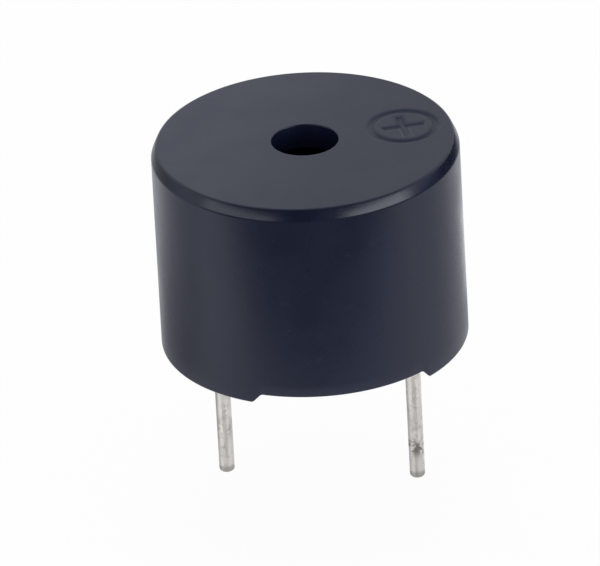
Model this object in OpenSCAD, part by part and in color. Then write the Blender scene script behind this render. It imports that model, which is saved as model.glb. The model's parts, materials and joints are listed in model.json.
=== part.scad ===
// Piezo buzzer with its own drive circuit: a moulded can with two pins of unequal length.
// Millimetres. +Z is up, z = 0 is the plane that the feet stand on, and the can's axis is x = y = 0.
// The pins stand on the X axis, the positive one at +X under the polarity mark.

/* [Housing] */
// Diameter of the can at its feet
body_d = 12; // [11.6:0.1:13]
// Height from the seat to the top face
body_h = 8.5; // [8:0.1:12]
// How far the wall leans in from the seat to the top face
draft_w = 0.02; // [0:0.01:0.1]
// Wall beside the circuit board
wall_t = 0.65; // [0.5:0.05:0.8]
// Top wall, which is the length of the sound hole
top_t = 1; // [0.6:0.05:1.6]
// Width of the top edge's flat chamfer, seen from above
chamfer_w = 0.2; // [0.1:0.05:0.4]
// Height of the top edge's flat chamfer
chamfer_h = 0.45; // [0.2:0.05:0.8]
// Diameter of the sound hole
port_d = 2.6; // [1.5:0.1:3.2]

/* [Feet] */
// Height of the two feet
foot_h = 0.4; // [0.2:0.05:0.6]
// Width of the gap between the feet, at its ceiling
foot_gap_w = 6.4; // [5:0.1:7]
// Sideways run of each foot's sloped end
foot_slope_w = 0.3; // [0.2:0.05:0.6]

/* [Polarity mark] */
// Diameter of the engraved ring, at the middle of its line
mark_d = 2.54; // [2:0.02:2.7]
// Width of the engraved lines
mark_line_w = 0.2; // [0.15:0.01:0.25]
// Depth of the engraved lines
mark_depth = 0.1; // [0.05:0.01:0.2]
// Length of each bar of the plus sign
mark_bar_l = 1.6; // [1:0.1:1.8]
// How far the mark's middle stands outside the middle of the pin
mark_shift = 0.1; // [0:0.05:0.15]

/* [Pins] */
// Distance from the can's outside to the middle of each pin
pin_inset = 2.2; // [2:0.05:2.4]
// Diameter of each pin below the sealing compound
pin_d = 0.6; // [0.5:0.05:0.65]
// Diameter of each pin's shank, whose shoulder the compound holds
shank_d = 0.7; // [0.65:0.05:0.8]
// Length of the positive pin below the seat
pin_positive_l = 7; // [4:0.05:9]
// Length of the negative pin below the seat
pin_negative_l = 5.5; // [3:0.05:8]
// Rounding of each pin's tip
pin_tip_r = 0.14; // [0.05:0.01:0.2]
// Height of each pin above the circuit board
pin_top_l = 0.6; // [0.5:0.05:1]
// Height of the solder that climbs each pin
pin_solder_h = 0.42; // [0.3:0.02:0.48]
// Width of that solder's foot beside the pin
pin_solder_w = 0.3; // [0.2:0.05:0.4]

/* [Sound element] */
// Height of the air space between the plate and the top wall
front_h = 1.2; // [0.8:0.1:1.6]
// Width of the ledge that the plate lies on
ledge_w = 0.55; // [0.4:0.05:0.7]
// Gap round the plate's edge
plate_gap = 0.05; // [0.03:0.01:0.1]
// Thickness of the brass plate
plate_t = 0.1; // [0.05:0.01:0.2]
// Thickness of the ceramic disc
ceramic_t = 0.12; // [0.08:0.01:0.2]
// Bare edge of the ceramic round its silver coat
coat_edge_w = 0.25; // [0.15:0.05:0.4]
// Thickness of the silver coat
coat_t = 0.02; // [0.02:0.01:0.05]
// Width of the feedback tongue in the silver coat
tongue_w = 1.2; // [1:0.05:1.4]
// Length of the feedback tongue, from the coat's edge inwards
tongue_l = 2; // [1.6:0.1:2.4]
// Bare line round the feedback tongue
tongue_gap = 0.25; // [0.15:0.05:0.35]
// Size of the glue bead that holds the plate
bead_w = 0.4; // [0.3:0.02:0.5]
// Gap from the plate's solder joint to the ceramic and to the glue
plate_joint_gap = 0.1; // [0.05:0.01:0.2]

/* [Circuit board] */
// Thickness of the circuit board
board_t = 0.8; // [0.6:0.1:1]
// Gap round the circuit board's edge
board_gap = 0.05; // [0.02:0.01:0.1]
// Width of the shoulder that the circuit board lies against
shoulder_w = 0.3; // [0.25:0.05:0.4]
// Gap round each shank in the circuit board
pin_hole_gap = 0.05; // [0.03:0.01:0.1]
// Thickness of the copper
copper_t = 0.05; // [0.03:0.01:0.08]
// Width of the copper tracks
track_w = 0.3; // [0.2:0.02:0.4]
// Copper that shows round each solder joint
pad_edge_w = 0.1; // [0.05:0.01:0.14]

/* [Potting] */
// Depth of the sealing compound below the rim between the feet
potting_recess = 0.5; // [0.3:0.05:0.8]
// Thickness of the sealing compound at the middle
potting_t = 0.9; // [0.6:0.05:1.2]
// How far the compound climbs the wall
potting_climb = 0.12; // [0.05:0.01:0.2]
// How far the compound climbs each pin below its shoulder
collar_h = 0.1; // [0.05:0.01:0.25]
// Width of that collar's foot beside the pin
collar_w = 0.3; // [0.2:0.02:0.4]

/* [Leads and solder] */
// Angle of the drive lead about the can's axis
drive_angle = -60; // [-70:1:-50]
// Gap from the outer solder joints on the board to the can's wall
wall_joint_gap = 0.5; // [0.4:0.05:0.7]
// Angle of the plate lead about the can's axis
plate_angle = 220; // [215:1:225]
// How far the plate lead runs inwards
plate_run = 1.25; // [1.15:0.05:1.4]
// Diameter of each lead, with its insulation
lead_d = 0.3; // [0.2:0.02:0.34]
// Radius of each lead's bend, at its middle
lead_bend_r = 0.6; // [0.4:0.05:0.7]
// Gap between each lead and the silver coat above it
lead_gap = 0.05; // [0.03:0.01:0.1]
// How far each lead reaches past the middle of its joint on the element
lead_tail = 0.15; // [0.05:0.01:0.2]
// Radius of each solder joint on the element
element_joint_r = 0.42; // [0.38:0.01:0.46]
// Solder that covers each lead in its joint on the element
lead_cover = 0.05; // [0.02:0.01:0.1]
// Radius of each solder joint on the circuit board
board_joint_r = 0.42; // [0.38:0.01:0.46]
// Height of each solder joint on the circuit board
board_joint_h = 0.35; // [0.25:0.01:0.5]

/* [Transistor] */
// Length of the transistor's body
transistor_l = 2.9; // [2.7:0.05:3.1]
// Width of the transistor's body
transistor_w = 1.3; // [1.2:0.05:1.4]
// Height of the transistor's body
transistor_h = 0.95; // [0.8:0.05:1.1]
// How much the body's sides lean in, above and below its legs
transistor_lean = 0.08; // [0.04:0.01:0.12]
// Gap below the transistor's body
transistor_lift = 0.08; // [0.05:0.01:0.12]
// How far each leg reaches past the body's side
leg_reach = 0.55; // [0.5:0.01:0.6]
// Distance between the two legs on one side
leg_pitch = 1.9; // [1.8:0.05:2]
// Width of each leg
leg_w = 0.4; // [0.3:0.02:0.5]
// Thickness of each leg
leg_t = 0.12; // [0.08:0.01:0.15]
// Length of each leg's flat foot
leg_foot_l = 0.3; // [0.2:0.02:0.35]

/* [Resistors] */
// Gap between a resistor and its neighbours
part_gap = 0.25; // [0.15:0.05:0.3]
// Length of each resistor
resistor_l = 1.6; // [1.5:0.05:1.7]
// Width of each resistor
resistor_w = 0.8; // [0.7:0.05:0.85]
// Height of each resistor
resistor_h = 0.45; // [0.35:0.05:0.6]
// Length of each end cap
cap_l = 0.3; // [0.2:0.02:0.4]
// Thickness of each end cap
cap_t = 0.04; // [0.03:0.01:0.06]

/* [Hidden] */
$fn = 96;

// What a cutter reaches past the surface that it opens
past = 1;

// Width of solder or compound where its climb ends
climb_edge_w = 0.05;

// Radii of the can and of its stepped bore, from the outside in
body_r = body_d / 2;
top_r = body_r - draft_w;
board_bore_r = body_r - wall_t;
plate_bore_r = board_bore_r - shoulder_w;
front_r = plate_bore_r - ledge_w;
board_r = board_bore_r - board_gap;
plate_r = plate_bore_r - plate_gap;
pin_r = pin_d / 2;
shank_r = shank_d / 2;
lead_r = lead_d / 2;

// Levels from the seat up to the circuit board's copper
potting_z = foot_h + potting_recess;
board_z = potting_z + potting_t;
board_top_z = board_z + board_t;
copper_z = board_top_z + copper_t;

// The level of the shoulders of the pins, inside the compound
shank_z = potting_z - potting_climb;
// Levels from the top face down to the leads
ceiling_z = body_h - top_t;
ledge_z = ceiling_z - front_h;
plate_z = ledge_z - plate_t;
ceramic_z = plate_z - ceramic_t;
coat_z = ceramic_z - coat_t;
lead_z = coat_z - lead_gap - lead_r;

// The ceramic leaves a bare ring of plate, as wide as the plate's solder joint needs
bare_ring_w = 2 * (element_joint_r + plate_joint_gap);
ceramic_r = plate_bore_r - bead_w - bare_ring_w;
bare_ring_mid = ceramic_r + bare_ring_w / 2;

// The silver coat and its tongue, which lies along +Y
coat_r = ceramic_r - coat_edge_w;
tongue_angle = 90;
tongue_tip_y = coat_r - tongue_l;
coat_joint_r = coat_r - tongue_l / 2;

// The pins stand on the X axis, and so does the mark
pin_x = body_r - pin_inset;

// Each lead lies in an upright plane through the can's axis:
// [angle, radius of its joint on the element, radius of its joint on the board, level it starts from]
board_ring_r = plate_bore_r - wall_joint_gap - board_joint_r;
drive_route = [drive_angle, coat_joint_r, board_ring_r, coat_z];
feedback_route = [tongue_angle, coat_joint_r, board_ring_r, coat_z];
plate_route = [plate_angle, bare_ring_mid, bare_ring_mid - plate_run, plate_z];
ROUTES = [drive_route, feedback_route, plate_route];

// The transistor's legs: the base and the emitter point to +Y, the collector to -Y
leg_tip_y = transistor_w / 2 + leg_reach;
leg_y = leg_tip_y - leg_foot_l / 2;
base_foot = [leg_pitch / 2, leg_y];
emitter_foot = [-leg_pitch / 2, leg_y];
collector_foot = [0, -leg_y];
LEGS = [[base_foot, 0], [emitter_foot, 0], [collector_foot, 180]];

// Places of the resistors round the transistor: [x, y, turn]
feedback_place = [leg_pitch / 2, leg_tip_y + part_gap + resistor_l / 2, 90];
beside_x = leg_pitch / 2 + resistor_w / 2 + part_gap + resistor_l / 2;
beside_y = leg_tip_y + resistor_w / 2;
bias_place = [beside_x, beside_y, 0];
load_place = [beside_x, -beside_y, 0];
RESISTORS = [load_place, bias_place, feedback_place];

// Plan position of a lead's joint at a radius on its route
function on_route(route, radius) = [radius * cos(route[0]), radius * sin(route[0])];

// Plan position of one end of a resistor, end being -1 or 1
function resistor_end(place, end) =
    let (reach = end * (resistor_l - cap_l) / 2)
    [place[0] + reach * cos(place[2]), place[1] + reach * sin(place[2])];

// The cap of a ball that covers a circle of radius r and stands h high on z = 0
module ball_cap(r, h) {
    ball_r = (r * r + h * h) / (2 * h);
    intersection() {
        translate([0, 0, h - ball_r]) sphere(r = ball_r);
        translate([-r, -r, 0]) cube([2 * r, 2 * r, h]);
    }
}

// A flat bar with round ends between two plan points
module track(from, to, w) {
    run = to - from;
    translate(from) circle(d = w);
    translate(to) circle(d = w);
    translate(from) rotate(atan2(run[1], run[0])) translate([0, -w / 2]) square([norm(run), w]);
}

// A rectangle centred on a plan point
module pad(at, size, turn = 0) {
    translate(at) rotate(turn) square(size, center = true);
}

// The can's wall, turned about its axis
module can() {
    rotate_extrude() polygon([
        [board_bore_r, 0], [body_r, 0],
        [top_r, body_h - chamfer_h], [top_r - chamfer_w, body_h],
        [port_d / 2, body_h], [port_d / 2, ceiling_z],
        [front_r, ceiling_z], [front_r, ledge_z],
        [plate_bore_r, ledge_z], [plate_bore_r, board_top_z], [board_bore_r, board_top_z]
    ]);
}

// The channel along Y that leaves two feet with sloped ends
module foot_gap() {
    half = foot_gap_w / 2;
    foot_half = half + foot_slope_w;
    translate([0, body_r + past, 0]) rotate([90, 0, 0]) linear_extrude(2 * (body_r + past)) polygon([
        [-foot_half, -past], [foot_half, -past], [foot_half, 0],
        [half, foot_h], [-half, foot_h], [-foot_half, 0]
    ]);
}

// The engraved ring and plus sign over the positive pin
module polarity_mark() {
    translate([pin_x + mark_shift, 0, body_h - mark_depth]) linear_extrude(mark_depth + past) {
        difference() {
            circle(d = mark_d + mark_line_w);
            circle(d = mark_d - mark_line_w);
        }
        square([mark_bar_l, mark_line_w], center = true);
        square([mark_line_w, mark_bar_l], center = true);
    }
}

module housing() {
    color([0.13, 0.14, 0.18]) difference() {
        can();
        foot_gap();
        polarity_mark();
    }
}

// A quarter-round bead in the corner between the plate and the bore
module diaphragm_adhesive() {
    color([0.85, 0.86, 0.84]) rotate_extrude() intersection() {
        translate([plate_bore_r, plate_z]) circle(r = bead_w);
        translate([plate_bore_r - bead_w, plate_z - bead_w]) square(bead_w);
    }
}

module brass_plate() {
    color([0.8, 0.65, 0.3]) translate([0, 0, plate_z]) cylinder(r = plate_r, h = plate_t);
}

module piezo_ceramic() {
    color([0.82, 0.78, 0.68]) translate([0, 0, ceramic_z]) cylinder(r = ceramic_r, h = ceramic_t);
}

// The tongue's outline, grown by a margin: a strip with a round inner end
module tongue(margin) {
    w = tongue_w + 2 * margin;
    inner_y = tongue_tip_y + tongue_w / 2;
    translate([0, inner_y]) circle(d = w);
    translate([-w / 2, inner_y]) square([w, coat_r]);
}

module drive_electrode() {
    color([0.86, 0.86, 0.84]) translate([0, 0, coat_z]) linear_extrude(coat_t) difference() {
        circle(r = coat_r);
        tongue(tongue_gap);
    }
}

module feedback_electrode() {
    color([0.86, 0.86, 0.84]) translate([0, 0, coat_z]) linear_extrude(coat_t) intersection() {
        circle(r = coat_r);
        tongue(0);
    }
}

// A lead: along the element, round one bend and down to the copper
module lead(route) {
    toward = sign(route[2] - route[1]);
    run = abs(route[2] - route[1]) - lead_bend_r;
    rotate([0, 0, route[0]]) translate([route[1], 0, lead_z])
    rotate([0, 0, toward < 0 ? 180 : 0]) {
        translate([-lead_tail, 0, 0]) rotate([0, 90, 0]) cylinder(r = lead_r, h = run + lead_tail);
        translate([run, 0, -lead_bend_r]) rotate([90, 0, 0]) rotate_extrude(angle = 90)
            translate([lead_bend_r, 0]) circle(r = lead_r);
        translate([run + lead_bend_r, 0, copper_z - lead_z])
            cylinder(r = lead_r, h = lead_z - lead_bend_r - copper_z);
    }
}

module drive_lead() {
    color([0.75, 0.1, 0.08]) lead(drive_route);
}

module feedback_lead() {
    color([0.1, 0.2, 0.65]) lead(feedback_route);
}

module plate_lead() {
    color([0.08, 0.08, 0.09]) lead(plate_route);
}

// The joints under the element, each closed round its lead
module element_solder() {
    color([0.72, 0.73, 0.74]) difference() {
        for (route = ROUTES) {
            depth = route[3] - lead_z + lead_r + lead_cover;
            translate([each on_route(route, route[1]), route[3]]) rotate([180, 0, 0])
                ball_cap(element_joint_r, depth);
        }
        for (route = ROUTES) lead(route);
    }
}

// The joints where the leads end on the copper
module board_solder() {
    color([0.72, 0.73, 0.74]) difference() {
        for (route = ROUTES)
            translate([each on_route(route, route[2]), copper_z]) ball_cap(board_joint_r, board_joint_h);
        for (route = ROUTES) lead(route);
    }
}

module circuit_board() {
    color([0.75, 0.68, 0.45]) difference() {
        translate([0, 0, board_z]) cylinder(r = board_r, h = board_t);
        for (side = [-1, 1]) translate([side * pin_x, 0, board_z - past])
            cylinder(r = shank_r + pin_hole_gap, h = board_t + 2 * past);
    }
}

// The copper on the board's upper face: supply, ground, collector and base
module copper_outline() {
    supply = [pin_x, 0];
    ground = [-pin_x, 0];
    drive_pad = on_route(drive_route, drive_route[2]);
    feedback_pad = on_route(feedback_route, feedback_route[2]);
    plate_pad = on_route(plate_route, plate_route[2]);
    collector_turn = [0, drive_pad[1]];
    for (at = [supply, ground]) translate(at) circle(r = shank_r + pin_solder_w + pad_edge_w);
    for (route = ROUTES) translate(on_route(route, route[2])) circle(r = board_joint_r + pad_edge_w);
    for (place = RESISTORS) for (end = [-1, 1])
        pad(resistor_end(place, end), [cap_l + 2 * pad_edge_w, resistor_w + 2 * pad_edge_w], place[2]);
    for (leg = LEGS) pad(leg[0], [leg_w + 2 * pad_edge_w, leg_foot_l + 2 * pad_edge_w]);
    track(resistor_end(load_place, 1), supply, track_w);
    track(resistor_end(bias_place, 1), supply, track_w);
    track(emitter_foot, ground, track_w);
    track(plate_pad, ground, track_w);
    track(collector_foot, resistor_end(load_place, -1), track_w);
    track(collector_foot, collector_turn, track_w);
    track(collector_turn, drive_pad, track_w);
    track(base_foot, resistor_end(bias_place, -1), track_w);
    track(base_foot, resistor_end(feedback_place, -1), track_w);
    track(resistor_end(feedback_place, 1), feedback_pad, track_w);
}

module copper_tracks() {
    color([0.8, 0.5, 0.3]) translate([0, 0, board_top_z]) linear_extrude(copper_t) difference() {
        copper_outline();
        for (side = [-1, 1]) translate([side * pin_x, 0]) circle(r = shank_r + pin_hole_gap);
    }
}

// A side view of the transistor's body, widest at the level of its legs
module leaning_side(w) {
    half = w / 2;
    polygon([
        [-half + transistor_lean, 0], [half - transistor_lean, 0], [half, transistor_h / 2],
        [half - transistor_lean, transistor_h], [-half + transistor_lean, transistor_h],
        [-half, transistor_h / 2]
    ]);
}

module transistor_body() {
    color([0.07, 0.07, 0.08]) translate([0, 0, copper_z + transistor_lift]) intersection() {
        rotate([90, 0, 0]) linear_extrude(transistor_w, center = true) leaning_side(transistor_l);
        rotate([90, 0, 90]) linear_extrude(transistor_l, center = true) leaning_side(transistor_w);
    }
}

// One bent leg, from the body's side down to its foot on the copper
module leg() {
    leg_z = transistor_lift + transistor_h / 2;
    tip = leg_tip_y;
    knee = tip - leg_foot_l;
    root = transistor_w / 2;
    shoulder = (root + knee) / 2;
    side_in = transistor_lean * leg_t / (transistor_h / 2);
    rotate([90, 0, 90]) linear_extrude(leg_w, center = true) polygon([
        [root, leg_z], [root - side_in, leg_z - leg_t], [shoulder - leg_t / 2, leg_z - leg_t],
        [knee - leg_t / 2, 0], [tip, 0], [tip, leg_t], [knee + leg_t / 2, leg_t],
        [shoulder + leg_t / 2, leg_z]
    ]);
}

module transistor_leads() {
    color([0.75, 0.75, 0.76]) translate([0, 0, copper_z]) for (item = LEGS)
        translate([item[0][0], 0, 0]) rotate([0, 0, item[1]]) leg();
}

// The ceramic block of a resistor, which its end caps cover by their own thickness
module resistor(place) {
    translate([place[0], place[1], copper_z + resistor_h / 2]) rotate([0, 0, place[2]])
        cube([resistor_l - 2 * cap_t, resistor_w - 2 * cap_t, resistor_h - 2 * cap_t], center = true);
}

module load_resistor() {
    color([0.1, 0.1, 0.11]) resistor(load_place);
}

module bias_resistor() {
    color([0.1, 0.1, 0.11]) resistor(bias_place);
}

module feedback_resistor() {
    color([0.1, 0.1, 0.11]) resistor(feedback_place);
}

module resistor_caps() {
    color([0.78, 0.78, 0.79]) difference() {
        for (place = RESISTORS) for (end = [-1, 1])
            translate([each resistor_end(place, end), copper_z + resistor_h / 2]) rotate([0, 0, place[2]])
                cube([cap_l, resistor_w, resistor_h], center = true);
        for (place = RESISTORS) resistor(place);
    }
}

// A round pin with a rounded tip and a thicker shank, turned about its own axis from the tip up
module pin(below) {
    core_r = pin_r - pin_tip_r;
    translate([0, 0, -below]) rotate_extrude() {
        square([core_r, pin_tip_r]);
        intersection() {
            translate([core_r, pin_tip_r]) circle(r = pin_tip_r);
            square(pin_r);
        }
        translate([0, pin_tip_r]) square([pin_r, below + shank_z - pin_tip_r]);
        translate([0, below + shank_z]) square([shank_r, board_top_z + pin_top_l - shank_z]);
    }
}

module pin_positive() {
    color([0.78, 0.78, 0.76]) translate([pin_x, 0, 0]) pin(pin_positive_l);
}

module pin_negative() {
    color([0.78, 0.78, 0.76]) translate([-pin_x, 0, 0]) pin(pin_negative_l);
}

// The solder that climbs each pin from its copper ring
module pin_solder() {
    color([0.72, 0.73, 0.74]) for (side = [-1, 1]) translate([side * pin_x, 0, copper_z]) difference() {
        cylinder(r1 = shank_r + pin_solder_w, r2 = shank_r + climb_edge_w, h = pin_solder_h);
        translate([0, 0, -past]) cylinder(r = shank_r, h = pin_solder_h + 2 * past);
    }
}

// The sealing compound's body, with its free face dished between the walls
module dished_disc() {
    dish_r = (board_bore_r * board_bore_r + potting_climb * potting_climb) / (2 * potting_climb);
    rotate_extrude() difference() {
        translate([0, potting_z - potting_climb]) square([board_bore_r, potting_t + potting_climb]);
        translate([0, potting_z - dish_r]) circle(r = dish_r, $fn = 1440);
    }
}

// The compound closes the bottom and climbs the wall and both pins
module potting() {
    collar_z = shank_z - collar_h;
    color([0.09, 0.09, 0.1]) difference() {
        union() {
            dished_disc();
            for (side = [-1, 1]) translate([side * pin_x, 0, collar_z])
                cylinder(r1 = pin_r + climb_edge_w, r2 = pin_r + collar_w, h = collar_h + potting_climb);
        }
        for (side = [-1, 1]) translate([side * pin_x, 0, 0]) {
            cylinder(r = pin_r, h = board_z);
            translate([0, 0, shank_z]) cylinder(r = shank_r, h = board_z - shank_z + past);
        }
    }
}

housing();
diaphragm_adhesive();
brass_plate();
piezo_ceramic();
drive_electrode();
feedback_electrode();
element_solder();
drive_lead();
feedback_lead();
plate_lead();
board_solder();
circuit_board();
copper_tracks();
transistor_body();
transistor_leads();
load_resistor();
bias_resistor();
feedback_resistor();
resistor_caps();
pin_positive();
pin_negative();
pin_solder();
potting();
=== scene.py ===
"""The looks of a round sounder can on two pins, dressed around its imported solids.

Sizes are in millimetres, read off the frame where it holds them, and a finished mesh is put into metres.
+Z is up, the pins stand on the X axis, and the can's axis is x = y = 0.
"""

import json
import logging
import math
from dataclasses import dataclass, field
from enum import Enum
from typing import Any, Callable, Iterable

import bmesh
import bpy
from mathutils import Matrix, Vector


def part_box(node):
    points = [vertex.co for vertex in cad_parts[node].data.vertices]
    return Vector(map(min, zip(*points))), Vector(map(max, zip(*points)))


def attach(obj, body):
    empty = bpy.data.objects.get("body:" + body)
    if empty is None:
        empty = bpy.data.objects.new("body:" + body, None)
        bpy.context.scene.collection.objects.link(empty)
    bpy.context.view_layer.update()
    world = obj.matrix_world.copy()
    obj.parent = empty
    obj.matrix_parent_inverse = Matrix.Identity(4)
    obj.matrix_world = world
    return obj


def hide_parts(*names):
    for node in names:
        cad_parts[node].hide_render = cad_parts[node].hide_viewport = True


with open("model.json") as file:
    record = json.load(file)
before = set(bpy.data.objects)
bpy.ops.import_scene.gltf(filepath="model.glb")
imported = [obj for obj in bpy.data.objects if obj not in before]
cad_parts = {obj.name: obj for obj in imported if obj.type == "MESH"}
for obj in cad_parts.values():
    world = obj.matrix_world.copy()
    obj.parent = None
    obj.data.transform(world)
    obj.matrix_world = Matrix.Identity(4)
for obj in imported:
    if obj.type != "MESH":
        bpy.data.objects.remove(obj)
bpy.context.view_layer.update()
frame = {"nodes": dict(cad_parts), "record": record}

BODY = "root"
METRES = 0.001
PICTURE_W = 600
SENSOR_W = 36.0

Colour = tuple[float, float, float]
Point = tuple[float, float]

log = logging.getLogger("sounder")


def box_mm(node: str) -> tuple[Vector, Vector]:
    """Reads a solid's box off the frame.

    Args:
        node: The solid's name.

    Returns:
        Its lowest and highest corner, in millimetres.
    """
    low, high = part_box(node)
    return low / METRES, high / METRES


def mount_dims(name: str) -> dict[str, float]:
    """Reads a mount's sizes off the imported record.

    Args:
        name: The mount's name.

    Returns:
        Its sizes in millimetres, by key.
    """
    return next(m["dims"] for m in frame["record"]["mounts"] if m["name"] == name)


class Slot(Enum):
    """The record's material slots."""

    HOUSING = "housing_black"
    SILICONE = "silicone_white"
    BRASS = "brass"
    CERAMIC = "piezo_ceramic"
    SILVER = "silver_coat"
    SOLDER = "solder"
    LEAD_RED = "lead_red"
    LEAD_BLUE = "lead_blue"
    LEAD_BLACK = "lead_black"
    BOARD = "board"
    COPPER = "copper"
    CHIP = "chip_black"
    TIN = "tin"
    PIN = "pin_tin"
    POTTING = "potting_black"


class Graph:
    """A shader's node tree while it is being wired."""

    def __init__(self, tree: bpy.types.NodeTree) -> None:
        """Clears the tree.

        Args:
            tree: A material's, a world's or a group's node tree.
        """
        self.tree = tree
        tree.nodes.clear()

    def node(self, kind: str, feeds: dict[Any, Any] | None = None, **settings: Any) -> bpy.types.Node:
        """Adds a node.

        Args:
            kind: Blender's name for the node's type.
            feeds: What goes into its inputs, by name or number: an output to link, or a constant.
            settings: The node's own properties.

        Returns:
            The new node.
        """
        made = self.tree.nodes.new(kind)
        for name, value in settings.items():
            setattr(made, name, value)
        for key, value in (feeds or {}).items():
            if isinstance(value, bpy.types.NodeSocket):
                self.tree.links.new(value, made.inputs[key])
            else:
                made.inputs[key].default_value = value
        return made

    def math(self, operation: str, *values: Any) -> bpy.types.NodeSocket:
        """Works on numbers.

        Args:
            operation: The Math node's operation.
            values: Its inputs, each an output or a number.

        Returns:
            The result's socket.
        """
        return self.node("ShaderNodeMath", dict(enumerate(values)), operation=operation).outputs[0]

    def ramp(
        self, value: Any, low: float, high: float, start: float = 0.0, end: float = 1.0,
    ) -> bpy.types.NodeSocket:
        """Maps a value smoothly from one range to another and holds it at the ends.

        Args:
            value: The output to map.
            low: Where the ramp starts.
            high: Where the ramp ends.
            start: What it gives at and before the start.
            end: What it gives at and past the end.

        Returns:
            The result's socket.
        """
        feeds = {0: value, 1: low, 2: high, 3: start, 4: end}
        return self.node("ShaderNodeMapRange", feeds, interpolation_type="SMOOTHSTEP").outputs[0]

    def mix(self, share: Any, first: Any, second: Any) -> bpy.types.NodeSocket:
        """Mixes two colours.

        Args:
            share: How much of the second colour shows, from 0 to 1.
            first: A colour or an output.
            second: A colour or an output.

        Returns:
            The mixed colour's socket.
        """
        feeds = {"Factor": share}
        made = self.node("ShaderNodeMix", feeds, data_type="RGBA")
        for socket, value in ((made.inputs[6], first), (made.inputs[7], second)):
            if isinstance(value, bpy.types.NodeSocket):
                self.tree.links.new(value, socket)
            else:
                socket.default_value = (*value, 1.0)
        return made.outputs[2]

    def place_mm(self) -> bpy.types.NodeSocket:
        """Gives a point's place on the object in millimetres."""
        where = self.node("ShaderNodeTexCoord").outputs["Object"]
        scale = (1 / METRES,) * 3
        return self.node("ShaderNodeMapping", {"Vector": where, "Scale": scale}).outputs[0]

    def noise(self, where: Any, scale: float, detail: float = 2.0, roughness: float = 0.5) -> bpy.types.NodeSocket:
        """Adds plain noise.

        Args:
            where: The point's place.
            scale: Blobs per millimetre.
            detail: How many finer layers are added.
            roughness: How strong each finer layer is.

        Returns:
            The noise's value, from 0 to 1.
        """
        feeds = {"Vector": where, "Scale": scale, "Detail": detail, "Roughness": roughness}
        return self.node("ShaderNodeTexNoise", feeds).outputs[0]

    def bump(self, height: Any, depth_mm: float, normal: Any = None) -> bpy.types.NodeSocket:
        """Turns a height into a normal.

        Args:
            height: The height, from 0 to 1.
            depth_mm: What a height of 1 stands for, in millimetres.
            normal: The normal to start from.

        Returns:
            The bumped normal's socket.
        """
        feeds = {"Height": height, "Distance": depth_mm * METRES, "Strength": 1.0}
        if normal is not None:
            feeds["Normal"] = normal
        return self.node("ShaderNodeBump", feeds).outputs[0]


class Effects:
    """The surface effects that several finishes share, each a node group that is built once."""

    def __init__(self) -> None:
        """Builds the groups."""
        self.grain = self.make(
            "surface_grain", ["Grain Scale", "Blotch Scale"], ["Height", "Blotch"], self.wire_grain,
        )
        self.wear = self.make(
            "handling_wear", ["Spot Scale", "Spot Share"], ["Height", "Mask"], self.wire_wear,
        )

    @staticmethod
    def make(
        name: str, inputs: list[str], outputs: list[str], wire: Callable[[Graph], None],
    ) -> bpy.types.NodeTree:
        """Makes an empty group with its sockets and has it wired.

        Args:
            name: The group's name.
            inputs: Its numbers, after the vector that every effect takes.
            outputs: Its results.
            wire: Fills the group's tree.

        Returns:
            The group.
        """
        tree = bpy.data.node_groups.new(name, "ShaderNodeTree")
        tree.interface.new_socket("Vector", in_out="INPUT", socket_type="NodeSocketVector")
        for label in inputs:
            tree.interface.new_socket(label, in_out="INPUT", socket_type="NodeSocketFloat")
        for label in outputs:
            tree.interface.new_socket(label, in_out="OUTPUT", socket_type="NodeSocketFloat")
        wire(Graph(tree))
        return tree

    @staticmethod
    def wire_grain(graph: Graph) -> None:
        """Wires the fine grain of a moulded or cast skin and its slow, cloudy unevenness.

        Args:
            graph: The group's tree.
        """
        given = graph.node("NodeGroupInput").outputs
        fine = graph.noise(given["Vector"], 1.0, detail=4.0, roughness=0.6)
        cloud = graph.noise(given["Vector"], 1.0, detail=3.0, roughness=0.55)
        for socket, scale in ((fine, "Grain Scale"), (cloud, "Blotch Scale")):
            graph.tree.links.new(given[scale], socket.node.inputs["Scale"])
        graph.node("NodeGroupOutput", {"Height": fine, "Blotch": graph.ramp(cloud, 0.32, 0.68)})

    @staticmethod
    def wire_wear(graph: Graph) -> None:
        """Wires scattered small spots with soft rims, such as tarnish, dust and rubbed points.

        Args:
            graph: The group's tree.
        """
        given = graph.node("NodeGroupInput").outputs
        spots = graph.noise(given["Vector"], 1.0, detail=5.0, roughness=0.65)
        graph.tree.links.new(given["Spot Scale"], spots.node.inputs["Scale"])
        level = graph.math("SUBTRACT", 1.0, given["Spot Share"])
        over = graph.math("SUBTRACT", spots, level)
        mask = graph.ramp(over, -0.04, 0.1)
        graph.node("NodeGroupOutput", {"Height": spots, "Mask": mask})

    def place(
        self, graph: Graph, group: bpy.types.NodeTree, where: Any, *numbers: float,
    ) -> bpy.types.NodeOutputs:
        """Places a group in a finish.

        Args:
            graph: The finish's tree.
            group: The effect.
            where: The point's place, in millimetres.
            numbers: The effect's own values, in the order of its inputs.

        Returns:
            The placed group's outputs.
        """
        placed = graph.node("ShaderNodeGroup", node_tree=group)
        graph.tree.links.new(where, placed.inputs["Vector"])
        for index, number in enumerate(numbers, start=1):
            placed.inputs[index].default_value = number
        return placed.outputs


def start_material(name: str) -> tuple[bpy.types.Material, Graph, bpy.types.Node]:
    """Starts a material with its output and a Principled shader.

    Args:
        name: The material's name.

    Returns:
        The material, its graph and its shader.
    """
    material = bpy.data.materials.new(name)
    material.use_nodes = True
    graph = Graph(material.node_tree)
    shader = graph.node("ShaderNodeBsdfPrincipled")
    graph.node("ShaderNodeOutputMaterial", {"Surface": shader.outputs[0]})
    return material, graph, shader


def shade(color: Colour, share: float) -> Colour:
    """Makes a colour darker or paler in proportion.

    Args:
        color: The colour.
        share: What each channel is multiplied by.

    Returns:
        The new colour.
    """
    return tuple(min(1.0, channel * share) for channel in color)


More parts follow.
